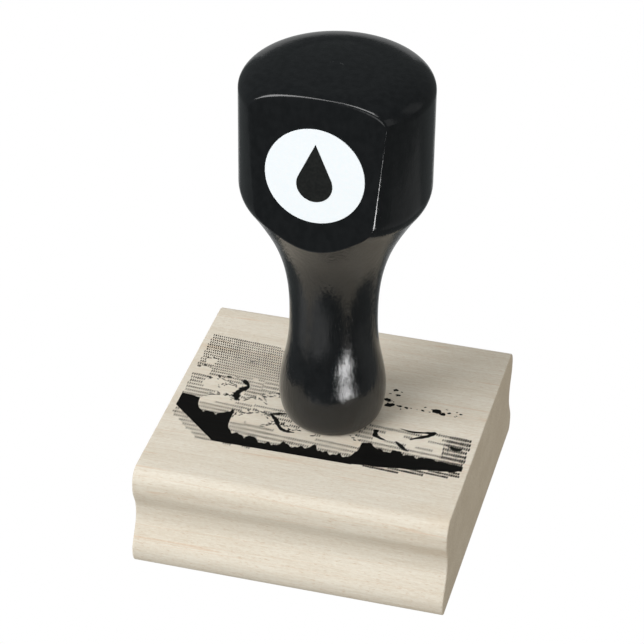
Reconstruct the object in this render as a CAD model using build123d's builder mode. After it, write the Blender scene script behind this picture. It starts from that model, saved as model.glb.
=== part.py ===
"""Wood-mounted rubber stamp with a turned handle.

Millimetres, +Z up. X runs along the moulded front, Y from front to back. The origin is at the
centre of the printing face, which is the surface that the stamp stands on.
"""
from build123d import *
import math
import os

os.makedirs("parts", exist_ok=True)

# ------------------------------------------------------------------ driving dimensions
# The glued stack under the block, from the printing face up.
RELIEF_DEPTH = 1.0
DIE_BACKING = 1.1
TAPE_THICKNESS = 0.15
FOAM_THICKNESS = 3.0

# The block: flat sawn ends across X, the same moulding along the front and the back.
# Each half depth is measured from the middle of the block.
BLOCK_WIDTH = 63.5
BLOCK_HEIGHT = 21.6
BASE_HALF_DEPTH = 32.4
GROOVE_HALF_DEPTH = 29.4
NOSE_HALF_DEPTH = 31.1
BASE_ROUND = 1.3
NOSE_ROUND = 2.9
BULGE_Z = 2.9
BULGE_END = (0.8, 5.3)
GROOVE_START = (0.55, 8.2)
GROOVE_Z = 11.0
GROOVE_END = (0.4, 13.4)
NOSE_START = (0.25, 15.8)
NOSE_Z = 18.3
END_EDGE_RADIUS = 0.3

# The handle, with heights above the top of the block. It stands a little right of the centre.
HANDLE_X = 0.65
HANDLE_HEIGHT = 79.6
FOOT_CONTACT_RADIUS = 8.6
FOOT_RADIUS = 10.75
FOOT_BULGE_HEIGHT = 6.4
NECK_RADIUS = 8.75
WAIST_HEIGHT = 24.0
FOOT_TAPER = (9.2, 16.5)
FLARE_POINTS = [(9.5, 33.3), (11.75, 40.8), (15.15, 47.2)]
FLARE_ANGLE = 36
HEAD_CORNER_RADIUS = 6.8
HEAD_START = 54.5
HEAD_RADIUS = 18.6
SHOULDER_WIDTH = 9.0
SHOULDER_RISE = 4.8
CROWN_RISE = 0.45
FLAT_DISTANCE = 13.9
FLAT_TILT = 4.0
FLAT_TURN = 2.0
FLAT_EDGE_RADIUS = 1.0

# The round label on the flat, and its emblem.
LABEL_RADIUS = 9.65
LABEL_THICKNESS = 0.12
LABEL_HEIGHT = 62.9
EMBLEM_THICKNESS = 0.05
DROP_RADIUS = 3.5
DROP_TIP = 6.6

# The countersunk wood screw, from the underside of the block up into the handle.
SCREW_LENGTH = 38.1
SCREW_HEAD_RADIUS = 4.2
SCREW_SHANK_RADIUS = 2.1
SCREW_CORE_RADIUS = 1.5
SCREW_SHANK_LENGTH = 17.0
SCREW_TIP_LENGTH = 4.0
SCREW_HOLE_EXTRA = 0.5
THREAD_PITCH = 1.9
THREAD_ROOT_WIDTH = 0.8
COUNTERSINK_ANGLE = 82
CROSS_LENGTH = 4.4
CROSS_WIDTH = 1.0
CROSS_DEPTH = 2.2
CROSS_TAPER = 22
HEAD_RECESS = 0.2
BLOCK_HOLE_RADIUS = 2.3

# The artwork, in plan: solid ground along the front and a line screen above it.
INK_THICKNESS = 0.05
ART_LEFT, ART_RIGHT = -30.2, 30.4
GROUND_FRONT = -17.0
SCREEN_PITCH = 1.15
SCREEN_LINE = 0.4
FOOT_CLEARANCE = 0.35
SKYLINE = [(ART_RIGHT, -12.6), (24.0, -14.2), (17.0, -13.2), (12.5, -11.4), (7.0, -13.9),
           (0.0, -15.2), (-7.0, -13.9), (-13.0, -10.6), (-20.0, -9.3), (ART_LEFT, -4.6)]
GROUND_EDGE = [(ART_LEFT, -8.6), (-20.5, GROUND_FRONT), (18.0, GROUND_FRONT), (ART_RIGHT, -15.2)]
SKY_TOP = [(ART_LEFT, 19.4), (-18.0, 18.0), (-4.0, 11.5), (9.0, 3.0), (20.0, -4.0), (ART_RIGHT, -5.0)]
SCREEN_BACK = 20.0
CLOUDS = [(-21.5, -4.6, 4.8), (-10.0, -8.0, 5.2)]
SPECK_COUNT = 7
TRIM_OUTLINE = [(-29.6, 19.6), (-4.0, 19.6), (29.4, 8.5), (29.4, -14.6), (21.0, -18.2),
                (-20.5, -18.2), (-29.6, -9.5)]
TRIM_CORNER_RADIUS = 3.0

# ------------------------------------------------------------------ levels worked out from them
die_top = RELIEF_DEPTH + DIE_BACKING
foam_bottom = die_top + TAPE_THICKNESS
foam_top = foam_bottom + FOAM_THICKNESS
block_bottom = foam_top + TAPE_THICKNESS
block_top = block_bottom + BLOCK_HEIGHT


# ------------------------------------------------------------------ shared outlines, in plan
def trimmed_outline():
    """The close-cut outline shared by the die, the cushion and both tapes."""
    with BuildSketch() as outline:
        with BuildLine():
            Polyline(*TRIM_OUTLINE, close=True)
        make_face()
        fillet(outline.vertices(), TRIM_CORNER_RADIUS)
    return outline.sketch


def ground():
    """Solid rolling ground: straight cut edges below, a soft wavy skyline above."""
    with BuildSketch() as land:
        with BuildLine():
            Spline(*SKYLINE)
            Polyline(SKYLINE[-1], *GROUND_EDGE, SKYLINE[0])
        make_face()
    return land.sketch


def screened_sky():
    """A sky of parallel screen lines with two round clouds left open."""
    rows = round((SCREEN_BACK - GROUND_FRONT) / SCREEN_PITCH)
    with BuildSketch() as sky:
        with BuildLine():
            fade = Spline(*SKY_TOP)
            Polyline(fade @ 1, (ART_RIGHT, GROUND_FRONT), (ART_LEFT, GROUND_FRONT), fade @ 0)
        make_face()
        for cloud_x, cloud_y, cloud_radius in CLOUDS:
            with Locations((cloud_x, cloud_y)):
                Circle(cloud_radius, mode=Mode.SUBTRACT)
        add(ground(), mode=Mode.SUBTRACT)
        with Locations((0, (SCREEN_BACK + GROUND_FRONT) / 2)):
            with GridLocations(0, SCREEN_PITCH, 1, rows):
                Rectangle(2 * ART_RIGHT, SCREEN_LINE, mode=Mode.INTERSECT)
    return sky.sketch


def specks():
    """A loose row of small spots that trails off to the right of the handle."""
    with BuildSketch() as spots:
        for step in range(SPECK_COUNT):
            spot_radius = 0.35 + 0.25 * (step % 3)
            with Locations((11.0 + 2.6 * step, 4.6 - 0.75 * step + 0.8 * math.sin(2.1 * step))):
                Circle(spot_radius)
    return spots.sketch


# ------------------------------------------------------------------ rubber_die
with BuildPart() as rubber_die:
    with BuildSketch(Plane.XY.offset(RELIEF_DEPTH)):
        add(trimmed_outline())
    extrude(amount=DIE_BACKING)
    with BuildSketch(Plane.XY):
        add(ground())
        add(screened_sky())
        add(specks())
        add(trimmed_outline(), mode=Mode.INTERSECT)
    extrude(amount=RELIEF_DEPTH)
rubber_die.part.label = "rubber_die"
export_step(rubber_die.part, "parts/rubber_die.step")

# ------------------------------------------------------------------ tapes and cushion
with BuildPart() as die_tape:
    with BuildSketch(Plane.XY.offset(die_top)):
        add(trimmed_outline())
    extrude(amount=TAPE_THICKNESS)
die_tape.part.label = "die_tape"
export_step(die_tape.part, "parts/die_tape.step")

with BuildPart() as foam_cushion:
    with BuildSketch(Plane.XY.offset(foam_bottom)):
        add(trimmed_outline())
    extrude(amount=FOAM_THICKNESS)
foam_cushion.part.label = "foam_cushion"
export_step(foam_cushion.part, "parts/foam_cushion.step")

with BuildPart() as cushion_tape:
    with BuildSketch(Plane.XY.offset(foam_top)):
        add(trimmed_outline())
    extrude(amount=TAPE_THICKNESS)
cushion_tape.part.label = "cushion_tape"
export_step(cushion_tape.part, "parts/cushion_tape.step")

# ------------------------------------------------------------------ wood_block
base_point = (BASE_HALF_DEPTH, block_bottom + BULGE_Z)
groove_point = (GROOVE_HALF_DEPTH, block_bottom + GROOVE_Z)
nose_point = (NOSE_HALF_DEPTH, block_bottom + NOSE_Z)
with BuildPart() as wood_block:
    with BuildSketch(Plane.YZ.offset(-BLOCK_WIDTH / 2)):
        with BuildLine():
            Line((0, block_bottom), (BASE_HALF_DEPTH - BASE_ROUND, block_bottom))
            EllipticalCenterArc((BASE_HALF_DEPTH - BASE_ROUND, block_bottom + BULGE_Z),
                                BASE_ROUND, BULGE_Z, start_angle=-90, arc_size=90)
            Spline(base_point,
                   (BASE_HALF_DEPTH - BULGE_END[0], block_bottom + BULGE_END[1]),
                   (GROOVE_HALF_DEPTH + GROOVE_START[0], block_bottom + GROOVE_START[1]),
                   groove_point, tangents=[(0, 1), (0, 1)])
            Spline(groove_point,
                   (GROOVE_HALF_DEPTH + GROOVE_END[0], block_bottom + GROOVE_END[1]),
                   (NOSE_HALF_DEPTH - NOSE_START[0], block_bottom + NOSE_START[1]),
                   nose_point, tangents=[(0, 1), (0, 1)])
            EllipticalCenterArc((NOSE_HALF_DEPTH - NOSE_ROUND, block_bottom + NOSE_Z),
                                NOSE_ROUND, BLOCK_HEIGHT - NOSE_Z, start_angle=0, arc_size=90)
            Line((NOSE_HALF_DEPTH - NOSE_ROUND, block_top), (0, block_top))
            mirror(about=Plane.YZ)
        make_face()
    extrude(amount=BLOCK_WIDTH)
    end_faces = wood_block.faces().filter_by(Axis.X)
    fillet(end_faces.edges(), END_EDGE_RADIUS)
    with Locations(Plane((HANDLE_X, 0, block_bottom), z_dir=(0, 0, -1))):
        CounterSinkHole(BLOCK_HOLE_RADIUS, SCREW_HEAD_RADIUS + HEAD_RECESS,
                        counter_sink_angle=COUNTERSINK_ANGLE)
wood_block.part.label = "wood_block"
export_step(wood_block.part, "parts/wood_block.step")

# ------------------------------------------------------------------ handle
# Its outline lies in a plane through its own axis, with heights from the top of the block.
handle_base = (HANDLE_X, 0, block_top)
handle_axis = Axis(handle_base, (0, 0, 1))
outline_plane = Plane(handle_base, x_dir=(1, 0, 0), z_dir=(0, -1, 0))
tilt = math.radians(FLAT_TILT)
turned_x = math.cos(math.radians(FLAT_TURN))
turned_y = math.sin(math.radians(FLAT_TURN))
flat_plane = Plane((HANDLE_X - FLAT_DISTANCE * turned_y, -FLAT_DISTANCE * turned_x,
                    block_top + LABEL_HEIGHT), x_dir=(turned_x, -turned_y, 0),
                   z_dir=(-turned_y * math.cos(tilt), -turned_x * math.cos(tilt), math.sin(tilt)))
crown_start = HANDLE_HEIGHT - CROWN_RISE
crown_edge = HEAD_RADIUS - SHOULDER_WIDTH
shoulder_start = crown_start - SHOULDER_RISE
crown_radius = (crown_edge ** 2 + CROWN_RISE ** 2) / (2 * CROWN_RISE)
screw_start = block_bottom + HEAD_RECESS
screw_end = screw_start + SCREW_LENGTH
with BuildPart() as handle:
    with BuildSketch(outline_plane):
        with BuildLine():
            Line((0, 0), (FOOT_CONTACT_RADIUS, 0))
            EllipticalCenterArc((FOOT_CONTACT_RADIUS, FOOT_BULGE_HEIGHT),
                                FOOT_RADIUS - FOOT_CONTACT_RADIUS, FOOT_BULGE_HEIGHT,
                                start_angle=-90, arc_size=90)
            Spline((FOOT_RADIUS, FOOT_BULGE_HEIGHT), FOOT_TAPER, (NECK_RADIUS, WAIST_HEIGHT),
                   tangents=[(0, 1), (0, 1)])
            corner = CenterArc((HEAD_RADIUS - HEAD_CORNER_RADIUS, HEAD_START), HEAD_CORNER_RADIUS,
                               start_angle=-FLARE_ANGLE, arc_size=FLARE_ANGLE)
            Spline((NECK_RADIUS, WAIST_HEIGHT), *FLARE_POINTS, corner @ 0,
                   tangents=[(0, 1), corner % 0])
            Line((HEAD_RADIUS, HEAD_START), (HEAD_RADIUS, shoulder_start))
            EllipticalCenterArc((crown_edge, shoulder_start), SHOULDER_WIDTH, SHOULDER_RISE,
                                start_angle=0, arc_size=90)
            RadiusArc((crown_edge, crown_start), (0, HANDLE_HEIGHT), -crown_radius)
            Line((0, HANDLE_HEIGHT), (0, 0))
        make_face()
    revolve(axis=handle_axis)
    split(bisect_by=flat_plane, keep=Keep.BOTTOM)
    front_flat = handle.faces().filter_by(flat_plane).sort_by(Axis.Y)[0]
    fillet(front_flat.edges(), FLAT_EDGE_RADIUS)
    with Locations(Plane(handle_base, z_dir=(0, 0, -1))):
        Hole(SCREW_SHANK_RADIUS, depth=screw_end - block_top + SCREW_HOLE_EXTRA)
handle.part.label = "handle"
export_step(handle.part, "parts/handle.step")

# ------------------------------------------------------------------ handle_screw
cone_height = (SCREW_HEAD_RADIUS - SCREW_SHANK_RADIUS) / math.tan(math.radians(COUNTERSINK_ANGLE / 2))
tip_start = SCREW_LENGTH - SCREW_TIP_LENGTH
turns = int((tip_start - SCREW_SHANK_LENGTH) / THREAD_PITCH)
thread_profile = [(SCREW_SHANK_RADIUS, SCREW_SHANK_LENGTH)]
for turn in range(turns):
    root_z = SCREW_SHANK_LENGTH + THREAD_PITCH * (turn + 0.5)
    crest_z = SCREW_SHANK_LENGTH + THREAD_PITCH * (turn + 1)
    thread_profile += [(SCREW_CORE_RADIUS, root_z - THREAD_ROOT_WIDTH / 2),
                       (SCREW_CORE_RADIUS, root_z + THREAD_ROOT_WIDTH / 2),
                       (SCREW_SHANK_RADIUS, crest_z)]
screw_base = (HANDLE_X, 0, screw_start)
with BuildPart() as handle_screw:
    with BuildSketch(Plane(screw_base, x_dir=(1, 0, 0), z_dir=(0, -1, 0))):
        with BuildLine():
            Polyline((0, 0), (SCREW_HEAD_RADIUS, 0), (SCREW_SHANK_RADIUS, cone_height),
                     *thread_profile, (SCREW_CORE_RADIUS, tip_start), (0, SCREW_LENGTH), close=True)
        make_face()
    revolve(axis=handle_axis)
    with BuildSketch(Plane(screw_base)):
        Rectangle(CROSS_LENGTH, CROSS_WIDTH)
        Rectangle(CROSS_WIDTH, CROSS_LENGTH)
    extrude(amount=CROSS_DEPTH, taper=CROSS_TAPER, mode=Mode.SUBTRACT)
handle_screw.part.label = "handle_screw"
export_step(handle_screw.part, "parts/handle_screw.step")

# ------------------------------------------------------------------ index_print
with BuildPart() as index_print:
    with BuildSketch(Plane.XY.offset(block_top)):
        add(ground())
        add(screened_sky())
        add(specks())
        with Locations((HANDLE_X, 0)):
            Circle(FOOT_CONTACT_RADIUS + FOOT_CLEARANCE, mode=Mode.SUBTRACT)
    extrude(amount=INK_THICKNESS)
index_print.part.label = "index_print"
export_step(index_print.part, "parts/index_print.step")

# ------------------------------------------------------------------ handle_label and its emblem
with BuildPart() as handle_label:
    with BuildSketch(flat_plane):
        Circle(LABEL_RADIUS)
    extrude(amount=LABEL_THICKNESS)
handle_label.part.label = "handle_label"
export_step(handle_label.part, "parts/handle_label.step")

# An ink drop: a round belly with two straight flanks that meet in a point.
belly_y = -DROP_RADIUS / 2
flank = math.acos(DROP_RADIUS / (DROP_TIP - belly_y))
side_x = DROP_RADIUS * math.sin(flank)
side_y = belly_y + DROP_RADIUS * math.cos(flank)
with BuildPart() as label_emblem:
    with BuildSketch(flat_plane.offset(LABEL_THICKNESS)):
        with BuildLine():
            ThreePointArc((side_x, side_y), (0, belly_y - DROP_RADIUS), (-side_x, side_y))
            Polyline((-side_x, side_y), (0, DROP_TIP), (side_x, side_y))
        make_face()
    extrude(amount=EMBLEM_THICKNESS)
label_emblem.part.label = "label_emblem"
export_step(label_emblem.part, "parts/label_emblem.step")
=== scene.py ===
"""Visual model of a wood-mounted rubber stamp: turned black handle, moulded maple block, cushioned die.

Lengths in this file are millimetres in the row frame, and MM turns them into metres. X runs along
the moulded front, Y from front to back and Z up from the printing face.
"""
import bmesh
import bpy
import math
import numpy as np
from mathutils import Matrix, Vector


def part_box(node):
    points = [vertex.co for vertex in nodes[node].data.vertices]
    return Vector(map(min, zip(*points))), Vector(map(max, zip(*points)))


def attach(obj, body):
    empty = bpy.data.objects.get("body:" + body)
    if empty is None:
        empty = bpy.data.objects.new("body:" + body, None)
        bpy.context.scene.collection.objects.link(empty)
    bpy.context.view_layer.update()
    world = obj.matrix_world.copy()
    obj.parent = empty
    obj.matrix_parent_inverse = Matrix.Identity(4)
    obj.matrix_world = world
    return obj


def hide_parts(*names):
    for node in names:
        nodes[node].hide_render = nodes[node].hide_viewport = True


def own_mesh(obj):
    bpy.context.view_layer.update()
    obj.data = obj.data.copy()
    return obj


MM = 0.001
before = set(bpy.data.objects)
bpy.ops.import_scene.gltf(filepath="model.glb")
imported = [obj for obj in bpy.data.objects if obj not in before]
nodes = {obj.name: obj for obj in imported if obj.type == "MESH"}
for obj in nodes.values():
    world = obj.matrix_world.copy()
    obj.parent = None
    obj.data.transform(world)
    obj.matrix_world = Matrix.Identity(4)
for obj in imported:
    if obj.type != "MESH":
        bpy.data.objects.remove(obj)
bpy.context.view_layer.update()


def box_mm(node):
    """The lowest and highest corner of a CAD node, in millimetres."""
    low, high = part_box(node)
    return np.array(low) / MM, np.array(high) / MM


TOP_Z = box_mm("wood_block")[1][2]
handle_low, handle_high = box_mm("handle")
label_low, label_high = box_mm("handle_label")
die_low, die_high = box_mm("rubber_die")
foam_low, foam_high = box_mm("foam_cushion")
AXIS_X = (handle_low[0] + handle_high[0]) / 2

# ------------------------------------------------------------------ mesh helpers


def new_piece(name, verts, faces, body, smooth=True):
    """A mesh object from points in millimetres, riding on a body."""
    mesh = bpy.data.meshes.new(name)
    mesh.from_pydata([tuple(float(c) * MM for c in v) for v in verts], [], faces)
    mesh.validate()
    mesh.update()
    obj = bpy.data.objects.new(name, mesh)
    bpy.context.scene.collection.objects.link(obj)
    for poly in mesh.polygons:
        poly.use_smooth = smooth
    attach(obj, body)
    return obj


def clamped_spline(points, start, end, steps):
    """Cubic spline through 2-D points, with unit tangents at both ends."""
    pts = np.array(points, float)
    knots = np.concatenate([[0], np.cumsum(np.linalg.norm(np.diff(pts, axis=0), axis=1))])
    n = len(pts)
    gaps = np.diff(knots)
    system = np.zeros((n, n))
    right = np.zeros((n, 2))
    system[0, 0] = system[-1, -1] = 1
    right[0] = np.array(start) / np.linalg.norm(start)
    right[-1] = np.array(end) / np.linalg.norm(end)
    for i in range(1, n - 1):
        a, b = gaps[i - 1], gaps[i]
        system[i, i - 1:i + 2] = b, 2 * (a + b), a
        right[i] = 3 * (b * (pts[i] - pts[i - 1]) / a + a * (pts[i + 1] - pts[i]) / b)
    slopes = np.linalg.solve(system, right)
    out = []
    for t in np.linspace(0, knots[-1], steps):
        i = min(np.searchsorted(knots, t, side="right") - 1, n - 2)
        h = gaps[i]
        u = (t - knots[i]) / h
        out.append(pts[i] * (1 + 2 * u) * (1 - u) ** 2 + h * slopes[i] * u * (1 - u) ** 2
                   + pts[i + 1] * u * u * (3 - 2 * u) - h * slopes[i + 1] * u * u * (1 - u))
    return np.array(out)


def arc(centre, radii, start, end, steps):
    """Points of an elliptical arc, with angles in degrees."""
    t = np.radians(np.linspace(start, end, steps))
    return np.stack([centre[0] + radii[0] * np.cos(t), centre[1] + radii[1] * np.sin(t)], 1)


def smooth_noise(rng, count):
    """Fractal 1-D noise of about unit height, for ragged edges."""
    octaves, fade = 5, 1.6
    total = np.zeros(count)
    for octave in range(1, octaves + 1):
        knots = max(4, int(count / (2 ** (octaves + 1 - octave))))
        total += np.interp(np.linspace(0, knots - 1, count), np.arange(knots),
                           rng.uniform(-1, 1, knots)) / fade ** octave
    return total


def crumble(rng, count):
    """1-D noise with sharp steps of uneven length, for torn edges."""
    step_threshold = 2.1
    steps = np.cumsum(rng.exponential(1.0, count) > step_threshold)
    heights = rng.uniform(-1, 1, count + 1)[steps]
    return np.convolve(heights, np.ones(3) / 3, mode="same")


def slab(bm, outline, low, high, flare=0.0):
    """Adds a closed prism over a plan outline that is star-shaped about its middle.

    flare widens its upper end.
    """
    pts = np.array(outline, float)
    centre = pts.mean(axis=0)
    away = pts - centre
    wider = pts + away / np.maximum(np.linalg.norm(away, axis=1), 1e-6)[:, None] * flare
    lower = [bm.verts.new((p[0] * MM, p[1] * MM, low * MM)) for p in pts]
    upper = [bm.verts.new((p[0] * MM, p[1] * MM, high * MM)) for p in wider]
    middle_low = bm.verts.new((centre[0] * MM, centre[1] * MM, low * MM))
    middle_high = bm.verts.new((centre[0] * MM, centre[1] * MM, high * MM))
    for i in range(len(pts)):
        j = (i + 1) % len(pts)
        bm.faces.new((middle_low, lower[j], lower[i]))
        bm.faces.new((middle_high, upper[i], upper[j]))
        bm.faces.new((lower[i], lower[j], upper[j], upper[i]))


def ribbon(bm, one_side, other_side, low, high, flare=0.0):
    """Adds a closed prism between two plan lines with the same number of points.

    flare widens its upper end.
    """
    a, b = np.array(one_side, float), np.array(other_side, float)
    across = (b - a) / np.maximum(np.linalg.norm(b - a, axis=1), 1e-6)[:, None] * flare
    rows = [[bm.verts.new((p[0] * MM, p[1] * MM, z * MM)) for p in line]
            for line, z in ((a, low), (b, low), (b + across, high), (a - across, high))]
    for i in range(len(a) - 1):
        for j in range(4):
            one, two = rows[j], rows[(j + 1) % 4]
            bm.faces.new((one[i], one[i + 1], two[i + 1], two[i]))
    bm.faces.new([row[0] for row in rows])
    bm.faces.new([row[-1] for row in rows][::-1])


def finish_bmesh(bm, name, body, smooth=False):
    """Triangulates bm, turns its normals outward and makes the piece."""
    bmesh.ops.triangulate(bm, faces=[f for f in bm.faces if len(f.verts) > 4])
    bmesh.ops.recalc_face_normals(bm, faces=bm.faces[:])
    mesh = bpy.data.meshes.new(name)
    bm.to_mesh(mesh)
    bm.free()
    obj = bpy.data.objects.new(name, mesh)
    bpy.context.scene.collection.objects.link(obj)
    for poly in mesh.polygons:
        poly.use_smooth = smooth
    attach(obj, body)
    return obj


# ------------------------------------------------------------------ materials


def linear(r, g, b):
    """An 8-bit display colour as linear RGBA."""
    def one(c):
        c = c / 255
        return c / 12.92 if c <= 0.04045 else ((c + 0.055) / 1.055) ** 2.4
    return (one(r), one(g), one(b), 1.0)


class Shader:
    """A node material with short calls for adding and linking nodes.

    Its textures are laid out in millimetres of the row frame.
    """

    def __init__(self, name):
        self.mat = bpy.data.materials.new(name)
        self.mat.use_nodes = True
        self.tree = self.mat.node_tree
        self.tree.nodes.clear()
        self.out = self.tree.nodes.new("ShaderNodeOutputMaterial")
        self.bsdf = self.add("ShaderNodeBsdfPrincipled")
        self.tree.links.new(self.bsdf.outputs[0], self.out.inputs["Surface"])
        self.coord = self.add("ShaderNodeTexCoord")
        scaled = self.add("ShaderNodeVectorMath", operation="SCALE")
        self.link(self.coord.outputs["Object"], scaled.inputs[0])
        scaled.inputs["Scale"].default_value = 1 / MM
        self.mm = scaled.outputs[0]

    def add(self, kind, **props):
        node = self.tree.nodes.new(kind)
        for key, value in props.items():
            setattr(node, key, value)
        return node

    def link(self, a, b):
        self.tree.links.new(a, b)

    def put(self, socket, value):
        if isinstance(value, bpy.types.NodeSocket):
            self.link(value, socket)
        else:
            socket.default_value = value

    def stretch(self, x, y, z, offset=(0, 0, 0)):
        """Texture coordinates with x, y and z features per millimetre along the axes."""
        node = self.add("ShaderNodeMapping")
        node.inputs["Location"].default_value = offset
        node.inputs["Scale"].default_value = (x, y, z)
        self.link(self.mm, node.inputs["Vector"])
        return node.outputs[0]

    def noise(self, vector, detail=4.0, rough=0.55):
        node = self.add("ShaderNodeTexNoise")
        self.link(vector, node.inputs["Vector"])
        node.inputs["Scale"].default_value = 1.0
        node.inputs["Detail"].default_value = detail
        node.inputs["Roughness"].default_value = rough
        return node.outputs["Fac"]

    def cells(self, vector):
        node = self.add("ShaderNodeTexVoronoi")
        self.link(vector, node.inputs["Vector"])
        node.inputs["Scale"].default_value = 1.0
        return node.outputs["Distance"]

    def remap(self, value, low, high, out_low=0.0, out_high=1.0):
        node = self.add("ShaderNodeMapRange", interpolation_type="SMOOTHSTEP")
        self.put(node.inputs["Value"], value)
        limits = {"From Min": low, "From Max": high, "To Min": out_low, "To Max": out_high}
        for key, number in limits.items():
            node.inputs[key].default_value = number
        return node.outputs[0]

    def math(self, operation, a, b=0.0):
        node = self.add("ShaderNodeMath", operation=operation)
        self.put(node.inputs[0], a)
        self.put(node.inputs[1], b)
        return node.outputs[0]

    def mix(self, factor, a, b):
        node = self.add("ShaderNodeMix", data_type="RGBA")
        self.put(node.inputs["Factor"], factor)
        self.put(node.inputs[6], a)
        self.put(node.inputs[7], b)
        return node.outputs[2]

    def bump(self, height, distance, strength):
        """distance is the height of the bumps in millimetres."""
        node = self.add("ShaderNodeBump")
        self.put(node.inputs["Height"], height)
        node.inputs["Distance"].default_value = distance * MM
        node.inputs["Strength"].default_value = strength
        self.link(node.outputs[0], self.bsdf.inputs["Normal"])

    def finish(self, color, rough, **fixed):
        self.put(self.bsdf.inputs["Base Color"], color)
        self.put(self.bsdf.inputs["Roughness"], rough)
        for key, value in fixed.items():
            self.bsdf.inputs[key.replace("_", " ")].default_value = value
        return self.mat


def wear(obj, material):
    """Gives an object one material in place of any it has."""
    obj.data.materials.clear()
    obj.data.materials.append(material)


def maple():
    """Fine sanded maple with its grain along X, open end grain on the sawn ends and faint cutter marks."""
    s = Shader("maple")
    fibre = s.noise(s.stretch(0.14, 2.4, 2.4), 5.0, 0.66)
    soft = s.noise(s.stretch(0.02, 0.3, 0.3, (5, 5, 5)), 3.0)
    patch = s.noise(s.stretch(0.03, 0.09, 0.09, (11, 2, 7)), 2.0)
    band = s.noise(s.stretch(0.008, 0.42, 0.42, (2, 14, 6)), 2.0, 0.4)
    line = s.remap(s.math("ABSOLUTE", s.math("SUBTRACT", band, 0.5)), 0.0, 0.012, 1.0, 0.0)
    fleck = s.remap(s.noise(s.stretch(0.8, 5.0, 5.0, (3, 8, 1)), 2.0, 0.5), 0.6, 0.7)
    color = s.mix(s.remap(soft, 0.3, 0.7), linear(230, 225, 213), linear(222, 215, 201))
    color = s.mix(s.math("MULTIPLY", s.remap(patch, 0.55, 0.75), 0.3), color, linear(222, 204, 180))
    color = s.mix(s.math("MULTIPLY", line, 0.42), color, linear(214, 180, 150))
    color = s.mix(s.math("MULTIPLY", fleck, 0.42), color, linear(196, 164, 134))
    color = s.mix(s.remap(fibre, 0.3, 0.75, 0.0, 0.26), color, linear(192, 172, 146))
    sand = s.noise(s.stretch(1.1, 3.2, 3.2, (7, 7, 3)), 3.0, 0.6)
    color = s.mix(s.remap(sand, 0.45, 0.75, 0.0, 0.22), color, linear(200, 180, 152))
    color = s.mix(s.remap(sand, 0.25, 0.5, 0.3, 0.0), color, linear(240, 235, 222))
    facing = s.add("ShaderNodeSeparateXYZ")
    s.link(s.coord.outputs["Normal"], facing.inputs[0])
    end = s.remap(s.math("ABSOLUTE", facing.outputs[0]), 0.5, 0.9)
    pores = s.noise(s.stretch(0.2, 3.4, 3.4, (6, 3, 2)), 4.0, 0.7)
    cloudy = s.noise(s.stretch(0.1, 0.12, 0.2, (1, 9, 5)), 2.0)
    end_color = s.mix(s.remap(pores, 0.3, 0.7), linear(206, 193, 170), linear(229, 218, 200))
    end_color = s.mix(s.remap(cloudy, 0.35, 0.65, 0.0, 0.2), end_color, linear(188, 172, 148))
    color = s.mix(end, color, end_color)
    chatter = s.add("ShaderNodeTexWave", wave_type="BANDS", bands_direction="X")
    s.link(s.stretch(1, 0.12, 0.12), chatter.inputs["Vector"])
    chatter.inputs["Scale"].default_value = 0.28
    chatter.inputs["Distortion"].default_value = 1.5
    chatter_patch = s.remap(s.noise(s.stretch(0.05, 0.1, 0.1, (9, 1, 4)), 2.0), 0.5, 0.7, 0.0, 0.25)
    height = s.math("ADD", fibre, s.math("MULTIPLY", chatter.outputs["Fac"], chatter_patch))
    height = s.math("SUBTRACT", height, s.math("MULTIPLY", sand, 0.8))
    s.bump(s.math("SUBTRACT", height, s.math("MULTIPLY", fleck, 0.4)), 0.07, 0.65)
    return s.finish(color, s.remap(fibre, 0.3, 0.7, 0.52, 0.68), Specular_IOR_Level=0.28)


HEAD_START = TOP_Z + 44.0
HEAD_FULL = HEAD_START + 10


def lacquer():
    """Gloss black lacquer. Turning marks show through it below the head, which is smoother."""
    s = Shader("black_lacquer")
    peel = s.noise(s.stretch(0.75, 0.75, 0.5), 2.0, 0.5)
    grain = s.noise(s.stretch(1.9, 1.9, 0.3, (4, 4, 4)), 4.0, 0.65)
    dust = s.remap(s.noise(s.stretch(3.0, 3.0, 3.0, (1, 7, 2)), 1.0), 0.72, 0.78)
    place = s.add("ShaderNodeSeparateXYZ")
    s.link(s.mm, place.inputs[0])
    below_head = s.remap(place.outputs[2], HEAD_START, HEAD_FULL, 1.0, 0.35)
    height = s.math("ADD", s.math("MULTIPLY", peel, 0.6), s.math("MULTIPLY", grain, 1.2))
    height = s.math("MULTIPLY", s.math("ADD", height, s.math("MULTIPLY", dust, 0.15)), below_head)
    s.bump(height, 0.085, 0.6)
    color = s.mix(s.remap(peel, 0.3, 0.7), linear(17, 19, 21), linear(23, 25, 27))
    rough = s.remap(s.noise(s.stretch(0.3, 0.3, 0.3, (2, 2, 2)), 3.0), 0.3, 0.7, 0.08, 0.17)
    return s.finish(color, rough, Specular_IOR_Level=0.5)


def ink():
    """Matt black printing ink with the wood's grain faintly in it."""
    s = Shader("printing_ink")
    grain = s.noise(s.stretch(0.12, 2.4, 2.4), 4.0, 0.6)
    color = s.mix(s.remap(grain, 0.4, 0.85), linear(9, 9, 8), linear(26, 24, 21))
    s.bump(grain, 0.03, 0.5)
    return s.finish(color, s.remap(grain, 0.3, 0.7, 0.6, 0.8), Specular_IOR_Level=0.12)


def vinyl():
    """White label stock with a faint bluish glow of its own: painted light that brightens it, put in for
    the optical brightener in it.
    """
    s = Shader("label_white")
    grain = s.noise(s.stretch(1.4, 1.4, 1.4), 3.0)
    s.bump(grain, 0.01, 0.4)
    color = s.mix(s.remap(grain, 0.3, 0.7), linear(246, 251, 255), linear(242, 249, 255))
    # Painted light: a faint bluish glow that makes the label brighter than its lighting does.
    s.bsdf.inputs["Emission Color"].default_value = (0.62, 0.82, 1.0, 1.0)
    s.bsdf.inputs["Emission Strength"].default_value = 0.07
    return s.finish(color, s.remap(grain, 0.3, 0.7, 0.28, 0.4), Specular_IOR_Level=0.4)


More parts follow.
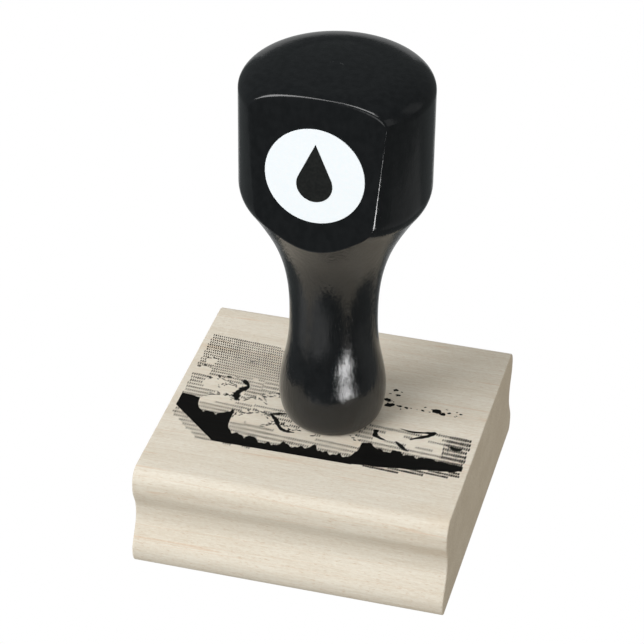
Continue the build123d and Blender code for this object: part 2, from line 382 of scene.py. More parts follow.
def emblem_black():
    """Black print on the label."""
    s = Shader("emblem_ink")
    grain = s.noise(s.stretch(2.0, 2.0, 2.0), 3.0)
    s.bump(grain, 0.01, 0.4)
    color = s.mix(s.remap(grain, 0.3, 0.7), linear(22, 24, 24), linear(32, 34, 33))
    return s.finish(color, s.remap(grain, 0.3, 0.7, 0.3, 0.42), Specular_IOR_Level=0.4)


def rubber():
    """Red moulded stamp rubber."""
    s = Shader("die_rubber")
    speck = s.noise(s.stretch(1.6, 1.6, 1.6), 5.0, 0.65)
    s.bump(speck, 0.05, 0.5)
    color = s.mix(s.remap(speck, 0.3, 0.7), linear(158, 44, 36), linear(184, 62, 50))
    return s.finish(color, s.remap(speck, 0.3, 0.7, 0.55, 0.75), Specular_IOR_Level=0.35)


def foam():
    """Grey closed-cell foam."""
    s = Shader("cushion_foam")
    bubbles = s.cells(s.stretch(3.2, 3.2, 3.2))
    s.bump(s.math("MULTIPLY", bubbles, -1.0), 0.12, 0.9)
    color = s.mix(s.remap(bubbles, 0.1, 0.6), linear(66, 68, 72), linear(112, 114, 118))
    return s.finish(color, s.remap(bubbles, 0.1, 0.6, 0.95, 0.8), Specular_IOR_Level=0.2)


def film():
    """Yellowish adhesive film."""
    s = Shader("adhesive_film")
    grain = s.noise(s.stretch(0.8, 0.8, 6.0), 3.0)
    s.bump(grain, 0.02, 0.4)
    color = s.mix(s.remap(grain, 0.3, 0.7), linear(214, 196, 150), linear(226, 212, 172))
    return s.finish(color, s.remap(grain, 0.3, 0.7, 0.2, 0.35), Specular_IOR_Level=0.5)


def steel():
    """Zinc-plated steel."""
    s = Shader("screw_steel")
    brush = s.noise(s.stretch(1.5, 1.5, 9.0), 4.0)
    s.bump(brush, 0.02, 0.4)
    color = s.mix(s.remap(brush, 0.3, 0.7), linear(170, 170, 168), linear(200, 199, 195))
    return s.finish(color, s.remap(brush, 0.3, 0.7, 0.25, 0.42), Metallic=1.0)


# ------------------------------------------------------------------ the handle
# Heights are above the top of the block.
FOOT_CONTACT_RADIUS = 8.6
FOOT_RADIUS = 10.75
FOOT_BULGE_HEIGHT = 6.4
FOOT_TAPER = (9.2, 16.5)
NECK_RADIUS = 8.75
WAIST_HEIGHT = 24
FLARE_POINTS = [(9.5, 33.3), (11.75, 40.8), (15.15, 47.2)]
FLARE_ANGLE = 36
CORNER_RADIUS = 6.8
CORNER_Z = 54.5
HEAD_RADIUS = (handle_high[0] - handle_low[0]) / 2
HANDLE_HEIGHT = handle_high[2] - handle_low[2]
SHOULDER_WIDTH = 9.0
SHOULDER_RISE = 4.8
CROWN_RISE = 0.45
BASE_RINGS = (0.0, 4.0, 8.0)

# The flat is cut from FLAT_START up. Its edge is softest at the top of the head.
FLAT_DISTANCE = 13.9
FLAT_TILT = math.radians(4.0)
FLAT_TURN = math.radians(2.0)
FLAT_START = 38.0
FLAT_REACH = 0.3
FLAT_EDGE_RADIUS = 2.0
EDGE_SHARP_Z, EDGE_SOFT_Z = TOP_Z + 54.0, TOP_Z + 78.0
SHARPEST = 0.05
MOST_TURNED_AWAY = -0.2

# Columns of points round the handle, close together over the arc that holds the flat.
FRONT_ARC = 60
FRONT_COLUMNS = 190
REST_COLUMNS = 64

LABEL_Z = (label_low[2] + label_high[2]) / 2
LABEL_THICKNESS = 0.12
EMBLEM_THICKNESS = 0.05

# The plane of the flat: outward, its own upward and sideways directions, and the label's centre.
flat_out = Vector((-math.sin(FLAT_TURN) * math.cos(FLAT_TILT), -math.cos(FLAT_TURN) * math.cos(FLAT_TILT),
                   math.sin(FLAT_TILT)))
flat_side = Vector((math.cos(FLAT_TURN), -math.sin(FLAT_TURN), 0))
flat_up = flat_out.cross(flat_side)
label_centre = Vector((AXIS_X - FLAT_DISTANCE * math.sin(FLAT_TURN), -FLAT_DISTANCE * math.cos(FLAT_TURN),
                       LABEL_Z - LABEL_THICKNESS / 2 * math.sin(FLAT_TILT)))


def handle_profile():
    """(radius, height above the block) from the foot to the middle of the crown.

    The last number of each run is its count of points.
    """
    flare = math.radians(FLARE_ANGLE)
    corner_middle = HEAD_RADIUS - CORNER_RADIUS
    corner = (corner_middle + CORNER_RADIUS * math.cos(flare), CORNER_Z - CORNER_RADIUS * math.sin(flare))
    shoulder_z = HANDLE_HEIGHT - CROWN_RISE - SHOULDER_RISE
    rim = HEAD_RADIUS - SHOULDER_WIDTH
    crown = np.linspace(rim, 0, 14)
    foot_side = (FOOT_RADIUS, FOOT_BULGE_HEIGHT)
    foot_overhang = FOOT_RADIUS - FOOT_CONTACT_RADIUS
    waist = (NECK_RADIUS, WAIST_HEIGHT)
    return np.concatenate([
        np.array([(radius, 0.0) for radius in BASE_RINGS]),
        arc((FOOT_CONTACT_RADIUS, FOOT_BULGE_HEIGHT), (foot_overhang, FOOT_BULGE_HEIGHT), -90, 0, 16),
        clamped_spline([foot_side, FOOT_TAPER, waist], (0, 1), (0, 1), 20)[1:],
        clamped_spline([waist, *FLARE_POINTS, corner], (0, 1), (math.sin(flare), math.cos(flare)), 130)[1:],
        arc((corner_middle, CORNER_Z), (CORNER_RADIUS, CORNER_RADIUS), -FLARE_ANGLE, 0, 24)[1:],
        np.stack([np.full(24, HEAD_RADIUS), np.linspace(CORNER_Z, shoulder_z, 24)], 1)[1:],
        arc((rim, shoulder_z), (SHOULDER_WIDTH, SHOULDER_RISE), 0, 90, 80)[1:],
        np.stack([crown, HANDLE_HEIGHT - CROWN_RISE * (crown / rim) ** 2], 1)[1:],
    ])


def pressed(point, normal):
    """A point of the turned surface, moved onto the flat where it lies beyond it.

    The edge between the two is rounded.
    """
    beyond = (point - label_centre).dot(flat_out)
    half = math.acos(max(MOST_TURNED_AWAY, min(1.0, normal.dot(flat_out)))) / 2
    softness = min(1.0, max(SHARPEST, (point.z - EDGE_SHARP_Z) / (EDGE_SOFT_Z - EDGE_SHARP_Z)))
    blend = FLAT_EDGE_RADIUS * softness * (1 / math.cos(half) - 1) / math.cos(half)
    kept = (beyond - math.sqrt(beyond ** 2 + 4 * blend ** 2)) / 2
    return point - flat_out * (beyond - kept)


def make_handle():
    """The turned handle, closed at the foot and the crown by fans of triangles."""
    profile = handle_profile()
    slopes = np.gradient(profile, axis=0)
    front = np.linspace(-FRONT_ARC, FRONT_ARC, FRONT_COLUMNS)
    rest = np.linspace(FRONT_ARC, 360 - FRONT_ARC, REST_COLUMNS + 2)[1:-1]
    angles = np.radians(np.concatenate([front, rest])) - FLAT_TURN
    count = len(angles)
    verts = [(AXIS_X, 0, TOP_Z)]
    for (radius, z), (run, rise) in zip(profile[1:-1], slopes[1:-1]):
        for a in angles:
            point = Vector((AXIS_X + radius * math.sin(a), -radius * math.cos(a), TOP_Z + z))
            normal = Vector((rise * math.sin(a), -rise * math.cos(a), -run)).normalized()
            if math.cos(a + FLAT_TURN) > FLAT_REACH and z > FLAT_START:
                point = pressed(point, normal)
            verts.append(tuple(point))
    verts.append((AXIS_X, 0, TOP_Z + HANDLE_HEIGHT))
    faces = []
    last = len(verts) - 1
    for i in range(len(profile) - 3):
        for j in range(count):
            k = (j + 1) % count
            a, b = 1 + i * count, 1 + (i + 1) * count
            faces.append((a + j, a + k, b + k, b + j))
    top = last - count
    for j in range(count):
        k = (j + 1) % count
        faces.append((0, 1 + k, 1 + j))
        faces.append((last, top + j, top + k))
    piece = new_piece("handle_turned", verts, faces, "mount")
    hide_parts("handle")
    wear(piece, lacquer())


make_handle()

# ------------------------------------------------------------------ label and emblem
LABEL_RADIUS = 9.65
LABEL_BEVEL = 0.05
LABEL_SIDES = 180
EMBLEM_BEVEL = 0.02
EMBLEM_SINK = 0.01
DROP_RADIUS = 3.5
DROP_TIP = 6.6
DROP_ROUND_STEPS = 90
DROP_FLANK_STEPS = 12


def on_flat(x, y, out):
    """A point of the label's plane: x to the right, y up the flat, out from its surface."""
    return tuple(label_centre + flat_side * x + flat_up * y + flat_out * out)


def make_disc(name, outline, base, top, bevel, material, replaced):
    """A thin plate on the flat with a softly rounded rim."""
    rings = [(0.0, base), (0.0, top - bevel), (bevel * 0.3, top - bevel * 0.3), (bevel, top)]
    centre = np.mean(outline, axis=0)
    verts = []
    for inset, out in rings:
        for p in outline:
            away = np.array(p) - centre
            q = np.array(p) - away / np.linalg.norm(away) * inset
            verts.append(on_flat(q[0], q[1], out))
    n = len(outline)
    faces = []
    for i in range(len(rings) - 1):
        for j in range(n):
            k = (j + 1) % n
            faces.append((i * n + j, i * n + k, (i + 1) * n + k, (i + 1) * n + j))
    verts.append(on_flat(centre[0], centre[1], top))
    verts.append(on_flat(centre[0], centre[1], base))
    last_ring, top_middle = (len(rings) - 1) * n, len(rings) * n
    for j in range(n):
        k = (j + 1) % n
        faces.append((last_ring + j, last_ring + k, top_middle))
        faces.append((k, j, top_middle + 1))
    piece = new_piece(name, verts, faces, "mount", smooth=False)
    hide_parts(replaced)
    wear(piece, material)


def drop_outline():
    """An ink drop: a round belly with two straight flanks up to its tip, clockwise."""
    belly_y = -DROP_RADIUS / 2
    flank = math.acos(DROP_RADIUS / (DROP_TIP - belly_y))
    turn = np.linspace(math.pi / 2 - flank, -3 * math.pi / 2 + flank, DROP_ROUND_STEPS)
    drop = [(DROP_RADIUS * math.cos(t), belly_y + DROP_RADIUS * math.sin(t)) for t in turn]
    start, side, tip = np.array(drop[0]), np.array(drop[-1]), np.array((0.0, DROP_TIP))
    along = np.linspace(0, 1, DROP_FLANK_STEPS)
    drop += [tuple(side + (tip - side) * u) for u in along[1:]]
    drop += [tuple(tip + (start - tip) * u) for u in along[1:-1]]
    return drop


disc_turn = np.linspace(0, 2 * math.pi, LABEL_SIDES + 1)[:-1]
disc = [(LABEL_RADIUS * math.cos(t), LABEL_RADIUS * math.sin(t)) for t in disc_turn]
make_disc("label_disc", disc, 0.0, LABEL_THICKNESS, LABEL_BEVEL, vinyl(), "handle_label")
make_disc("label_drop", drop_outline()[::-1], LABEL_THICKNESS - EMBLEM_SINK,
          LABEL_THICKNESS + EMBLEM_THICKNESS, EMBLEM_BEVEL, emblem_black(), "label_emblem")

# ------------------------------------------------------------------ the block keeps its CAD shape
wear(nodes["wood_block"], maple())
wear(nodes["handle_screw"], steel())
wear(nodes["cushion_tape"], film())
wear(nodes["die_tape"], film())

# ------------------------------------------------------------------ the artwork, in plan
# A landscape: solid ground in front, pale clouds over it, and line screens between and behind.
ART_LEFT, ART_RIGHT, ART_FRONT = -30.2, 30.4, -17.0
LAND = [(ART_LEFT, -2.9), (-25.0, -3.8), (-18.0, -5.8), (-12.0, -9.6), (-4.0, -11.6), (3.0, -11.4),
        (9.6, -9.2), (17.0, -10.2), (24.0, -10.9), (ART_RIGHT, -11.9)]
LAND_EDGE = [(ART_LEFT, -7.2), (-19.6, ART_FRONT + 0.1), (9.0, ART_FRONT + 0.1), (20.0, -15.4),
             (ART_RIGHT, -13.6)]
ART_EDGE = [(ART_LEFT, -9.9), (-22.8, ART_FRONT), (19.0, ART_FRONT), (ART_RIGHT, -15.6)]
FADE = [(ART_LEFT, 18.6), (-22.0, 18.6), (-14.0, 17.0), (-9.0, 9.0), (2.0, 2.0), (9.0, -2.6), (22.0, -2.8),
        (ART_RIGHT, -3.0)]
# Clouds as circles: middle and radius.
CLOUDS = [(-22.4, -4.4, 3.8), (-21.2, -0.2, 3.2), (-24.6, 2.2, 2.6), (-28.4, 6.0, 1.8), (-27.8, 9.6, 1.2),
          (-13.4, -9.4, 4.8), (-10.6, -3.4, 5.4), (-15.2, -3.4, 3.2), (-8.4, -11.2, 4.0),
          (-3.2, -11.4, 3.4), (4.8, -10.9, 4.4), (1.0, -9.6, 3.2), (14.6, -7.8, 3.4), (20.0, -8.2, 3.4),
          (24.0, -8.6, 2.9), (22.2, -5.4, 2.6)]
# Brush strokes and the loose trail of spots: x, y and half width.
STROKES = [
    [(-19.4, 4.6, 0.55), (-17.9, 3.0, 0.3), (-18.8, 1.2, 0.55), (-19.4, -0.6, 0.75), (-18.8, -2.4, 0.3)],
    [(-10.8, -5.2, 0.2), (-9.4, -6.6, 0.42), (-8.2, -8.6, 0.3), (-6.6, -9.8, 0.38), (-4.6, -9.9, 0.15)],
    [(-10.8, -5.2, 0.2), (-9.0, -4.5, 0.36), (-7.6, -4.2, 0.14)],
    [(11.0, -4.4, 0.3), (11.2, -6.2, 0.42), (13.4, -7.4, 0.16)],
    [(15.6, -2.8, 0.1), (18.8, -3.2, 0.22), (22.6, -2.5, 0.3), (20.6, -4.3, 0.44), (18.2, -5.8, 0.2)],
    [(15.6, -7.2, 0.15), (17.4, -8.8, 0.42), (18.8, -9.8, 0.16)],
    [(26.4, -6.0, 0.3), (28.0, -6.6, 0.6), (28.8, -6.2, 0.3)],
]
TRAIL = [(11.6, 9.8, 0.5), (12.4, 8.2, 0.45), (10.6, 6.1, 0.75), (11.4, 4.4, 0.95), (13.6, 4.6, 0.4),
         (15.0, 4.4, 0.4), (18.4, 4.4, 0.35), (21.2, 4.9, 0.95), (22.6, 4.3, 0.6), (23.8, 4.9, 0.35),
         (26.2, 5.2, 0.3), (-22.6, 5.0, 0.5), (-19.6, 11.4, 0.35), (-24.6, 3.6, 0.2)]

# The line screens: the pitch of each one's rows, where each prints, and how dark each part is.
PITCHES = {"coarse": 1.36, "left": 1.12, "fine": 0.88}
DOT_PITCH = 0.46
ROW_TURN = math.radians(-3.5)
SCREEN_REACH = 21
SCREEN_COLUMNS = 76
FINE_FROM = 5.5
LEFT_UNTIL = -15.0
WATER_FROM = 9.0
TONES = {"shore": 0.52, "water": 1.5, "hill": 1.3, "cloud": 0.3, "sky": 0.66, "open": 0.46}
HILL_LEFT, HILL_SLOPE, HILL_BASE = 25.2, 40, -11
SKY_MIDDLE = 13
FAINTEST, FAINTEST_SPREAD = 0.1, 0.08
LINE_STEPS = 160

# How ragged the edges are, and the seeds of their random draws.
BITE, BITE_WOBBLES = 0.86, ((0.09, 2.1), (0.06, 4.7))
SKYLINE_ROUGH, SKYLINE_TORN, SHORE_ROUGH = 0.24, 0.16, 0.45
THINNEST_LAND = 0.4
GROUND_STEPS = 700
STROKE_STEPS = 26
STROKE_RAGGED = (0.7, 1.5)
SPECKS_PER_MM = 8
SPECKS_UNTIL = 12
GROUND_SEED, SCREEN_SEED, SPOT_SEED, STROKE_SEED = 11, 5, 23, 31


def natural(points, steps):
    """A smooth line through plan points that sets off and arrives along its first and last legs."""
    first = np.array(points[1]) - np.array(points[0])
    last = np.array(points[-1]) - np.array(points[-2])
    return clamped_spline(points, first, last, steps)


def line_y(line, x):
    """y at x of a left-to-right line."""
    return float(np.interp(x, line[:, 0], line[:, 1]))


land_line = natural(LAND, LINE_STEPS)
fade_line = natural(FADE, LINE_STEPS)
land_edge = np.array(LAND_EDGE)
art_edge = np.array(ART_EDGE)


def land_top(x):
    """The height of the ground's skyline, which the clouds' uneven undersides bite into."""
    y = line_y(land_line, x)
    for cx, cy, radius in CLOUDS:
        if abs(x - cx) < radius:
            bulge = 1 - abs((x - cx) / radius) ** 3
            (wide, slow), (narrow, quick) = BITE_WOBBLES
            wobble = wide * math.sin(slow * x + cx) + narrow * math.sin(quick * x + cy)
            y = min(y, cy - radius * bulge ** 0.5 * (BITE + wobble))
    return y


def ground_sides():
    """The ragged skyline and the front edge of the solid ground, both from left to right."""
    rng = np.random.default_rng(GROUND_SEED)
    xs = np.linspace(ART_LEFT, ART_RIGHT, GROUND_STEPS)
    skyline = np.array([land_top(x) for x in xs])
    skyline += SKYLINE_ROUGH * smooth_noise(rng, len(xs)) + SKYLINE_TORN * crumble(rng, len(xs))
    edge = np.array([line_y(land_edge, x) for x in xs])
    edge += np.where(xs > WATER_FROM, SHORE_ROUGH * smooth_noise(rng, len(xs)), 0.0)
    return np.stack([xs, np.maximum(skyline, edge + THINNEST_LAND)], 1), np.stack([xs, edge], 1)


def tone(x, y):
    """How much ink the screen carries at a place: 0 is none, and over 1 the dots run together."""
    if not ART_LEFT < x < ART_RIGHT or y > line_y(fade_line, x) or y < line_y(art_edge, x):
        return 0.0
    if y < line_y(land_edge, x):
        return TONES["shore"] if x < 0 else TONES["water"]
    if y < land_top(x) - 0.2:
        return 0.0
    wave = math.sin(0.55 * x + 1.3 * math.sin(0.4 * y)) * math.sin(0.7 * y - 0.3 * x)
    if x > HILL_LEFT and y < HILL_SLOPE * (x - HILL_LEFT) + HILL_BASE:
        return TONES["hill"] + 0.12 * wave
    for cx, cy, radius in CLOUDS:
        if math.hypot(x - cx, y - cy) / radius < 1:
            under = (cy - y) / radius
            return 0.0 if under < -0.05 or cy > 0 else TONES["cloud"] + 0.34 * under + 0.1 * wave
    if y > FINE_FROM:
        return TONES["sky"] + 0.1 * wave - 0.02 * abs(y - SKY_MIDDLE)
    return TONES["open"] + 0.12 * wave


def screen_at(x, y):
    """Which line screen prints a place."""
    if y > FINE_FROM or (x > WATER_FROM and y < line_y(land_edge, x)):
        return "fine"
    return "left" if x < LEFT_UNTIL else "coarse"


def screen_dots():
    """(x, y, half width, half depth) of each dot of the line screens."""
    rng = np.random.default_rng(SCREEN_SEED)
    dots = []
    c, s = math.cos(ROW_TURN), math.sin(ROW_TURN)
    for screen, pitch in PITCHES.items():
        rows = int(SCREEN_REACH / pitch)
        for row in range(-rows, rows + 1):
            for col in range(-SCREEN_COLUMNS, SCREEN_COLUMNS + 1):
                u, v = col * DOT_PITCH + (row % 2) * DOT_PITCH / 2, row * pitch
                x, y = u * c - v * s, u * s + v * c
                t = tone(x, y)
                if screen_at(x, y) != screen or t < FAINTEST + FAINTEST_SPREAD * rng.random():
                    continue
                wide = DOT_PITCH * (0.19 + 0.19 * t)
                deep = pitch * 0.5 * min(0.98, 0.58 + 0.5 * t)
                dots.append((x, y, wide * rng.uniform(0.8, 1.15), deep * rng.uniform(0.75, 1.15)))
    return dots


def blob(rng, x, y, wide, deep, turn, sides=14):
    """A small ragged spot of ink."""
    out = []
    for i in range(sides):
        a = 2 * math.pi * i / sides
        k = rng.uniform(0.7, 1.2)
        u, v = wide * k * math.cos(a), deep * k * math.sin(a)
        out.append((x + u * math.cos(turn) - v * math.sin(turn),
                    y + u * math.sin(turn) + v * math.cos(turn)))
    return out


def stroke(rng, points):
    """The right and left side of a ragged brush stroke through (x, y, half width) points."""
    middle = natural([p[:2] for p in points], STROKE_STEPS)
    widths = np.interp(np.linspace(0, 1, STROKE_STEPS), np.linspace(0, 1, len(points)),
                       [p[2] for p in points])
    along = np.gradient(middle, axis=0)
    across = np.stack([-along[:, 1], along[:, 0]], 1) / np.linalg.norm(along, axis=1)[:, None]
    left = middle + across * (widths * rng.uniform(*STROKE_RAGGED, STROKE_STEPS))[:, None]
    right = middle - across * (widths * rng.uniform(*STROKE_RAGGED, STROKE_STEPS))[:, None]
    return right, left


def spots():
    """Ragged spots: a loose trail right of the handle, and specks along the cloud tops."""
    rng = np.random.default_rng(SPOT_SEED)
    out = []
    for x, y, r in TRAIL:
        out.append(blob(rng, x, y, r * 1.2, r * 0.75, rng.uniform(-0.6, 0.3)))
        for _ in range(2):
            out.append(blob(rng, x + rng.normal(0, 1.0), y + rng.normal(0, 0.5), rng.uniform(0.12, 0.3),
                            rng.uniform(0.08, 0.18), rng.uniform(-0.6, 0.6), 8))
    for cx, cy, radius in CLOUDS:
        for _ in range(int(SPECKS_PER_MM * radius)):
            a = rng.uniform(0.5, 2.7)
            d = radius * rng.uniform(0.74, 1.04)
            x, y = cx + d * math.cos(a), cy + d * math.sin(a)
            if y > land_top(x) + 0.6 and x < ART_RIGHT - 1 and cx < SPECKS_UNTIL:
                out.append(blob(rng, x, y, rng.uniform(0.12, 0.46), rng.uniform(0.07, 0.18),
                                rng.uniform(-0.7, 0.7), 7))
    return out


def ellipse(x, y, wide, deep, sides=7):
    """A dot of the screen, lying along its rows."""
    c, s = math.cos(ROW_TURN), math.sin(ROW_TURN)
    out = []
    for i in range(sides):
        a = 2 * math.pi * (i + 0.5) / sides
        u, v = wide * math.cos(a), deep * math.sin(a)
        out.append((x + u * c - v * s, y + u * s + v * c))
    return out


DOTS = screen_dots()
SPOTS = spots()
GROUND_TOP, GROUND_EDGE = ground_sides()
stroke_rng = np.random.default_rng(STROKE_SEED)
BRUSHED = [stroke(stroke_rng, points) for points in STROKES]

# The ink film: how far it goes into the wood and stands up, and the gap that it leaves round the foot.
INK_SINK, INK_RISE = 0.01, 0.03
INK_LAYER = 0.002
FOOT_GAP = 9.2
SPOT_GAP = FOOT_GAP + 0.6


def make_print():
    """The inked artwork on top of the block.

    The lacquer doesn't mirror it, and it casts no shadow and throws no light back.
    """
    bm = bmesh.new()
    low, high = TOP_Z - INK_SINK, TOP_Z + INK_RISE
    ribbon(bm, GROUND_EDGE, GROUND_TOP, low, high)
    for one_side, other_side in BRUSHED:
        ribbon(bm, one_side, other_side, low, high - INK_LAYER)
    for x, y, wide, deep in DOTS:
        if math.hypot(x - AXIS_X, y) > FOOT_GAP:
            slab(bm, ellipse(x, y, wide, deep), low, high - 2 * INK_LAYER)
    for outline in SPOTS:
        if math.hypot(outline[0][0] - AXIS_X, outline[0][1]) > SPOT_GAP:
            slab(bm, outline, low, high - INK_LAYER)
    piece = finish_bmesh(bm, "index_print_ink", "mount")
    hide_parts("index_print")
    wear(piece, ink())
    piece.visible_glossy = False
    piece.visible_diffuse = False
    piece.visible_shadow = False


make_print()

# ------------------------------------------------------------------ the die, cushion and trimmed outline
TRIM = [(-29.6, 19.6), (-4.0, 19.6), (29.4, 8.5), (29.4, -14.6), (21.0, -18.2), (-20.5, -18.2),
        (-29.6, -9.5)]
TRIM_RADIUS = 3.0
TRIM_MARGIN = 0.45
DOT_MARGIN = 0.8
SPOT_MARGIN = 1.2


def rounded(corners, radius):
    """A convex outline with each corner rounded, in the opposite direction to the corners."""
    steps = 7
    out = []
    n = len(corners)
    for i in range(n):
        p, q, r = (np.array(corners[(i + k) % n], float) for k in (-1, 0, 1))
        a, b = (p - q) / np.linalg.norm(p - q), (r - q) / np.linalg.norm(r - q)
        half = math.acos(np.clip(a @ b, -1, 1)) / 2
        centre = q + (a + b) / np.linalg.norm(a + b) * radius / math.sin(half)
        start = q + a * radius / math.tan(half) - centre
        end = q + b * radius / math.tan(half) - centre
        sweep = math.atan2(start[0] * end[1] - start[1] * end[0], start @ end)
        for u in np.linspace(0, 1, steps):
            t = sweep * u
            out.append((centre[0] + start[0] * math.cos(t) - start[1] * math.sin(t),
                        centre[1] + start[0] * math.sin(t) + start[1] * math.cos(t)))
    return out[::-1]


trim = rounded(TRIM, TRIM_RADIUS)


def inside_trim(x, y, margin):
    """Whether a place is inside the trimmed outline by a margin."""
    n = len(TRIM)
    for i in range(n):
        p, q = np.array(TRIM[i], float), np.array(TRIM[(i + 1) % n], float)
        e = q - p
        if (e[1] * (x - p[0]) - e[0] * (y - p[1])) / np.linalg.norm(e) < margin:
            return False
    return True


def trimmed(line):
    """Plan points moved up or down to stay inside the trimmed outline."""
    out = []
    for x, y in line:
        low, high = -math.inf, math.inf
        for i in range(len(TRIM)):
            p, q = TRIM[i], TRIM[(i + 1) % len(TRIM)]
            if p[0] != q[0]:
                side = p[1] + (x - p[0]) / (q[0] - p[0]) * (q[1] - p[1])
                if q[0] > p[0]:
                    high = min(high, side - TRIM_MARGIN)
                else:
                    low = max(low, side + TRIM_MARGIN)
        out.append((x, min(max(y, low), high)))
    return np.array(out)


DIE_ART_HALF_WIDTH = 28.6
RELIEF_DEPTH = 1.0
RELIEF_SINK = 0.02
DOT_NARROWING = 0.9
# How much wider each kind of raised feature is at its root, on each side.
GROUND_DRAFT, STROKE_DRAFT, DOT_DRAFT = 0.12, 0.1, 0.14


def make_die():
    """The engraved rubber die: a thin backing with the artwork standing proud of it."""
    bm = bmesh.new()
    face, root = die_low[2], RELIEF_DEPTH + RELIEF_SINK
    slab(bm, trim, RELIEF_DEPTH, die_high[2])
    inner = np.abs(GROUND_TOP[:, 0]) < DIE_ART_HALF_WIDTH
    ribbon(bm, trimmed(GROUND_EDGE[inner]), trimmed(GROUND_TOP[inner]), face, root, GROUND_DRAFT)
    for one_side, other_side in BRUSHED:
        ribbon(bm, one_side, other_side, face, root, STROKE_DRAFT)
    for x, y, wide, deep in DOTS:
        if inside_trim(x, y, DOT_MARGIN):
            slab(bm, ellipse(x, y, wide * DOT_NARROWING, deep), face, root, DOT_DRAFT)
    for outline in SPOTS:
        if inside_trim(*outline[0], SPOT_MARGIN):
            slab(bm, outline, face, root, DOT_DRAFT)
    piece = finish_bmesh(bm, "die_relief", "print_face")
    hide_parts("rubber_die")
    wear(piece, rubber())


make_die()

FOAM_LAYERS = 9
FOAM_WAIST = 0.16


def make_foam():
    """The foam cushion: its cut side swells a little between the two tapes."""
    layers = np.linspace(0, 1, FOAM_LAYERS)
    verts = []
    for t in layers:
        pull = FOAM_WAIST * (1 - 4 * t * (1 - t))
        for x, y in trim:
            inward = np.array((x, y)) / math.hypot(x, y)
            verts.append((x - inward[0] * pull, y - inward[1] * pull,
                          foam_low[2] + t * (foam_high[2] - foam_low[2])))
    n = len(trim)
    faces = [tuple(range(n))[::-1], tuple(len(verts) - n + i for i in range(n))]
    for i in range(len(layers) - 1):
        for j in range(n):
            k = (j + 1) % n
            faces.append((i * n + j, i * n + k, (i + 1) * n + k, (i + 1) * n + j))
    piece = new_piece("foam_pad", verts, faces, "mount", smooth=False)
    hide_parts("foam_cushion")
    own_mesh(piece)
    wear(piece, foam())


make_foam()

# ------------------------------------------------------------------ floor and light settings
FLOOR_REACH = 2.5
FLOOR_Z = -5e-5
BOUNCE_Z = -6e-5
CARD_Z = -1e-4
FLOOR_GLOW = 1.0
BOUNCE_GLOW = 0.5
BOUNCE_COLOR = (1.0, 0.95, 0.86)
AMBIENT = 0.54
AMBIENT_COLOR = (1.01, 0.99, 0.94, 1)
ROOM_DARK = 0.115
ROOM_COLOR = (0.92, 1.0, 1.0, 1)
LIGHTS_AIM = Vector((0, 0, 0.06))
# Azimuth and elevation in degrees, distance in metres, and the degrees that each spans. The last four
# show only in reflections.
SOFTBOXES = [
    dict(name="key_left", azimuth=-46, elevation=45, distance=1.0, wide=34, high=32, radiance=6.5),
    dict(name="fill_front", azimuth=8, elevation=14, distance=1.2, wide=30, high=24, radiance=1.4),
    dict(name="edge_light", azimuth=14, elevation=66, distance=0.9, wide=26, high=20, radiance=6.0,
         diffuse=False),
    dict(name="haze_right", azimuth=71, elevation=26, distance=0.9, wide=20, high=34, radiance=0.3,
         diffuse=False),
    dict(name="haze_far", azimuth=116, elevation=26, distance=0.9, wide=18, high=30, radiance=0.18,
         diffuse=False),
    dict(name="backdrop", azimuth=-166, elevation=-16, distance=0.9, wide=36, high=56, radiance=0.35,
         diffuse=False),
]
# Pale cards on the table, seen only in reflections: middle, width and depth in millimetres.
CARDS = [
    dict(name="card_side", x=-50, y=-40, wide=66, deep=56, radiance=0.42),
    dict(name="card_neck", x=-26, y=-83, wide=60, deep=28, radiance=0.6),
    dict(name="card_streak", x=101, y=-119, wide=56, deep=66, radiance=17.5),
    dict(name="card_streak_near", x=89, y=-76, wide=32, deep=20, radiance=17.5),
    dict(name="card_right", x=120, y=30, wide=80, deep=120, radiance=0.12),
]


def stage_plane(name, z, color, glow):
    """A flat glowing square that is not part of the object."""
    shade = Shader(name + "_pale")
    shade.bsdf.inputs["Emission Color"].default_value = (*color, 1)
    shade.bsdf.inputs["Emission Strength"].default_value = glow
    mesh = bpy.data.meshes.new(name)
    corners = [(x * FLOOR_REACH, y * FLOOR_REACH, z) for x, y in ((-1, -1), (1, -1), (1, 1), (-1, 1))]
    mesh.from_pydata(corners, [], [(0, 1, 2, 3)])
    mesh.materials.append(shade.finish((0.0, 0.0, 0.0, 1.0), 1.0, Specular_IOR_Level=0.0))
    obj = bpy.data.objects.new(name, mesh)
    bpy.context.scene.collection.objects.link(obj)
    return obj


# ------------------------------------------------------------------ floor
# The camera sees the floor, and the warmer plane just below it lights the object. Neither shows in
# reflections.
floor = stage_plane("floor", FLOOR_Z, (1, 1, 1), FLOOR_GLOW)
floor.visible_glossy = False
floor.visible_diffuse = False
bounce = stage_plane("floor_bounce", BOUNCE_Z, BOUNCE_COLOR, BOUNCE_GLOW)
bounce.visible_glossy = False
bounce.visible_camera = False

# ------------------------------------------------------------------ light
world = bpy.data.worlds.new("studio")
bpy.context.scene.world = world
world.use_nodes = True
world_tree = world.node_tree
world_tree.nodes.clear()
world_out = world_tree.nodes.new("ShaderNodeOutputWorld")
ray_kind = world_tree.nodes.new("ShaderNodeLightPath")


def background(color, strength):
    """A plain world background of one colour."""
    node = world_tree.nodes.new("ShaderNodeBackground")
    node.inputs["Color"].default_value = color
    node.inputs["Strength"].default_value = strength
    return node.outputs[0]


def choose(factor, first, second):
    """first where factor is 0, second where it is 1."""
    node = world_tree.nodes.new("ShaderNodeMixShader")
    world_tree.links.new(factor, node.inputs[0])
    world_tree.links.new(first, node.inputs[1])
    world_tree.links.new(second, node.inputs[2])
    return node.outputs[0]


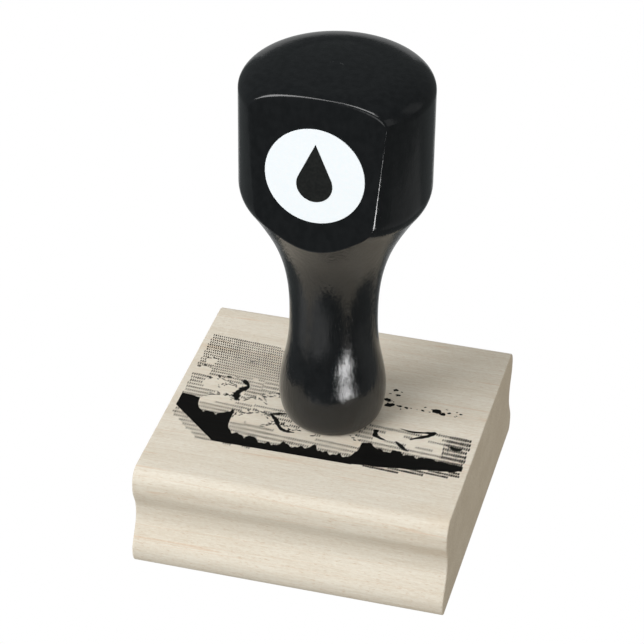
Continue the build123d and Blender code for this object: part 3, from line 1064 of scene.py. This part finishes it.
seen = background((1, 1, 1, 1), FLOOR_GLOW)
ambient = background(AMBIENT_COLOR, AMBIENT)
mirrored = background(ROOM_COLOR, ROOM_DARK)
lit = choose(ray_kind.outputs["Is Glossy Ray"], ambient, mirrored)
world_tree.links.new(choose(ray_kind.outputs["Is Camera Ray"], lit, seen), world_out.inputs[0])


def area_light(name, width, height, radiance):
    """A rectangular light of even radiance, hidden from the camera."""
    data = bpy.data.lights.new(name, "AREA")
    data.shape = "RECTANGLE"
    data.size, data.size_y = width, height
    data.energy = radiance * math.pi * width * height
    light = bpy.data.objects.new(name, data)
    bpy.context.scene.collection.objects.link(light)
    light.visible_camera = False
    return light


def softbox(name, azimuth, elevation, distance, wide, high, radiance, diffuse=True):
    """A rectangular light that faces the handle."""
    width = 2 * distance * math.tan(math.radians(wide / 2))
    height = 2 * distance * math.tan(math.radians(high / 2))
    light = area_light(name, width, height, radiance)
    a, e = math.radians(azimuth), math.radians(elevation)
    out = Vector((math.sin(a) * math.cos(e), -math.cos(a) * math.cos(e), math.sin(e)))
    across = Vector((math.cos(a), math.sin(a), 0))
    light.matrix_world = Matrix((across, out.cross(across), out)).transposed().to_4x4()
    light.location = LIGHTS_AIM + out * distance
    light.visible_diffuse = diffuse


def table_card(name, x, y, wide, deep, radiance):
    """A rectangle of light that lies on the table, faces up and shows only in reflections."""
    light = area_light(name, wide * MM, deep * MM, radiance)
    light.location = (x * MM, y * MM, CARD_Z)
    light.rotation_euler = (math.pi, 0, 0)
    light.visible_diffuse = False


for setting in SOFTBOXES:
    softbox(**setting)
for setting in CARDS:
    table_card(**setting)

# ------------------------------------------------------------------ camera
AZIMUTH, ELEVATION, ROLL = (math.radians(v) for v in (14.408, 34.089, 0.871))
DISTANCE = 518.1
AIM = Vector((0.201, 0.0, 50.85))
SENSOR_WIDTH = 36.0
LENS = 146.69441
SHIFT = (-0.01483385, -0.01720807)
CLIP = (0.01, 20)

camera_data = bpy.data.cameras.new("camera")
camera = bpy.data.objects.new("camera", camera_data)
bpy.context.scene.collection.objects.link(camera)
back = Vector((math.sin(AZIMUTH) * math.cos(ELEVATION), -math.cos(AZIMUTH) * math.cos(ELEVATION),
               math.sin(ELEVATION)))
right = Vector((math.cos(AZIMUTH), math.sin(AZIMUTH), 0))
up = back.cross(right)
right_rolled = right * math.cos(ROLL) + up * math.sin(ROLL)
up_rolled = up * math.cos(ROLL) - right * math.sin(ROLL)
camera.matrix_world = Matrix((right_rolled, up_rolled, back)).transposed().to_4x4()
camera.location = (AIM + back * DISTANCE) * MM
camera_data.sensor_width = SENSOR_WIDTH
camera_data.lens = LENS
camera_data.shift_x, camera_data.shift_y = SHIFT
camera_data.clip_start, camera_data.clip_end = CLIP
bpy.context.scene.camera = camera
bpy.context.scene.view_settings.view_transform = "Standard"
